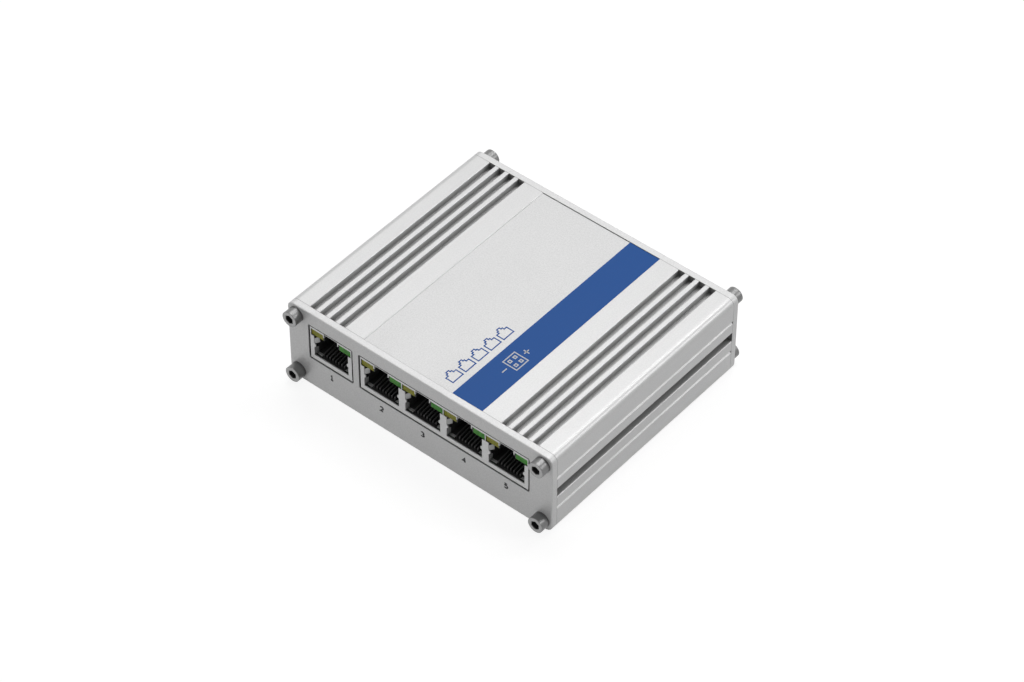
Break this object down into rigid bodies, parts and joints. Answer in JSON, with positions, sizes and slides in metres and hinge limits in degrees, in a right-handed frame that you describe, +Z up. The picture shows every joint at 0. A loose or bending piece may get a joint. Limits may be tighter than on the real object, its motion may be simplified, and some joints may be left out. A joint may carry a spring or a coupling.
{
  "type": "industrial network switch",
  "caption": "Flat extruded aluminium housing with screwed end plates, a row of network sockets in front and a power socket behind.",
  "frame": {"origin": "middle of the housing's underside", "axes": "+Z up, the network ports face -Y, +X is to the right of someone who looks at the ports"},
  "size_m": [0.0888, 0.0816, 0.0265],
  "materials": {
    "bare_aluminium": "fine matt anodised",
    "plate_aluminium": "fine matt anodised",
    "screw_steel": "plated, satin",
    "label_grey": "printed film, satin",
    "label_blue": "screen print, satin",
    "shield_steel": "nickel plated sheet",
    "black_plastic": "moulded, matt",
    "contact_gold": "gold plated",
    "yellow_lens": "unlit, slightly cloudy",
    "green_lens": "unlit, slightly cloudy",
    "board_green": "solder mask",
    "part_black": "moulded, matt",
    "part_metal": "satin",
    "pin_tin": "tin plated"
  },
  "bodies": {
    "root": {"clock_crystal": "part_metal", "front_plate": "plate_aluminium", "front_screws": "screw_steel", "ganged_jack_contacts": "contact_gold", "ganged_jack_green_light": "green_lens", "ganged_jack_insulator": "black_plastic", "ganged_jack_shield": "shield_steel", "ganged_jack_yellow_light": "yellow_lens", "housing_extrusion": "bare_aluminium", "input_capacitor": "part_metal", "input_fuse": "part_metal", "label_film": "label_grey", "label_stripe": "label_blue", "line_transformers": "part_black", "main_board": "board_green", "memory_chip": "part_black", "power_inductor": "part_black", "power_light": "green_lens", "power_light_holder": "black_plastic", "power_pins": "pin_tin", "power_socket": "black_plastic", "rear_plate": "plate_aluminium", "rear_screws": "screw_steel", "regulator_chip": "part_black", "single_jack_contacts": "contact_gold", "single_jack_green_light": "green_lens", "single_jack_insulator": "black_plastic", "single_jack_shield": "shield_steel", "single_jack_yellow_light": "yellow_lens", "surge_diode": "part_black", "switch_chip": "part_black"}
  },
  "joints": []
}
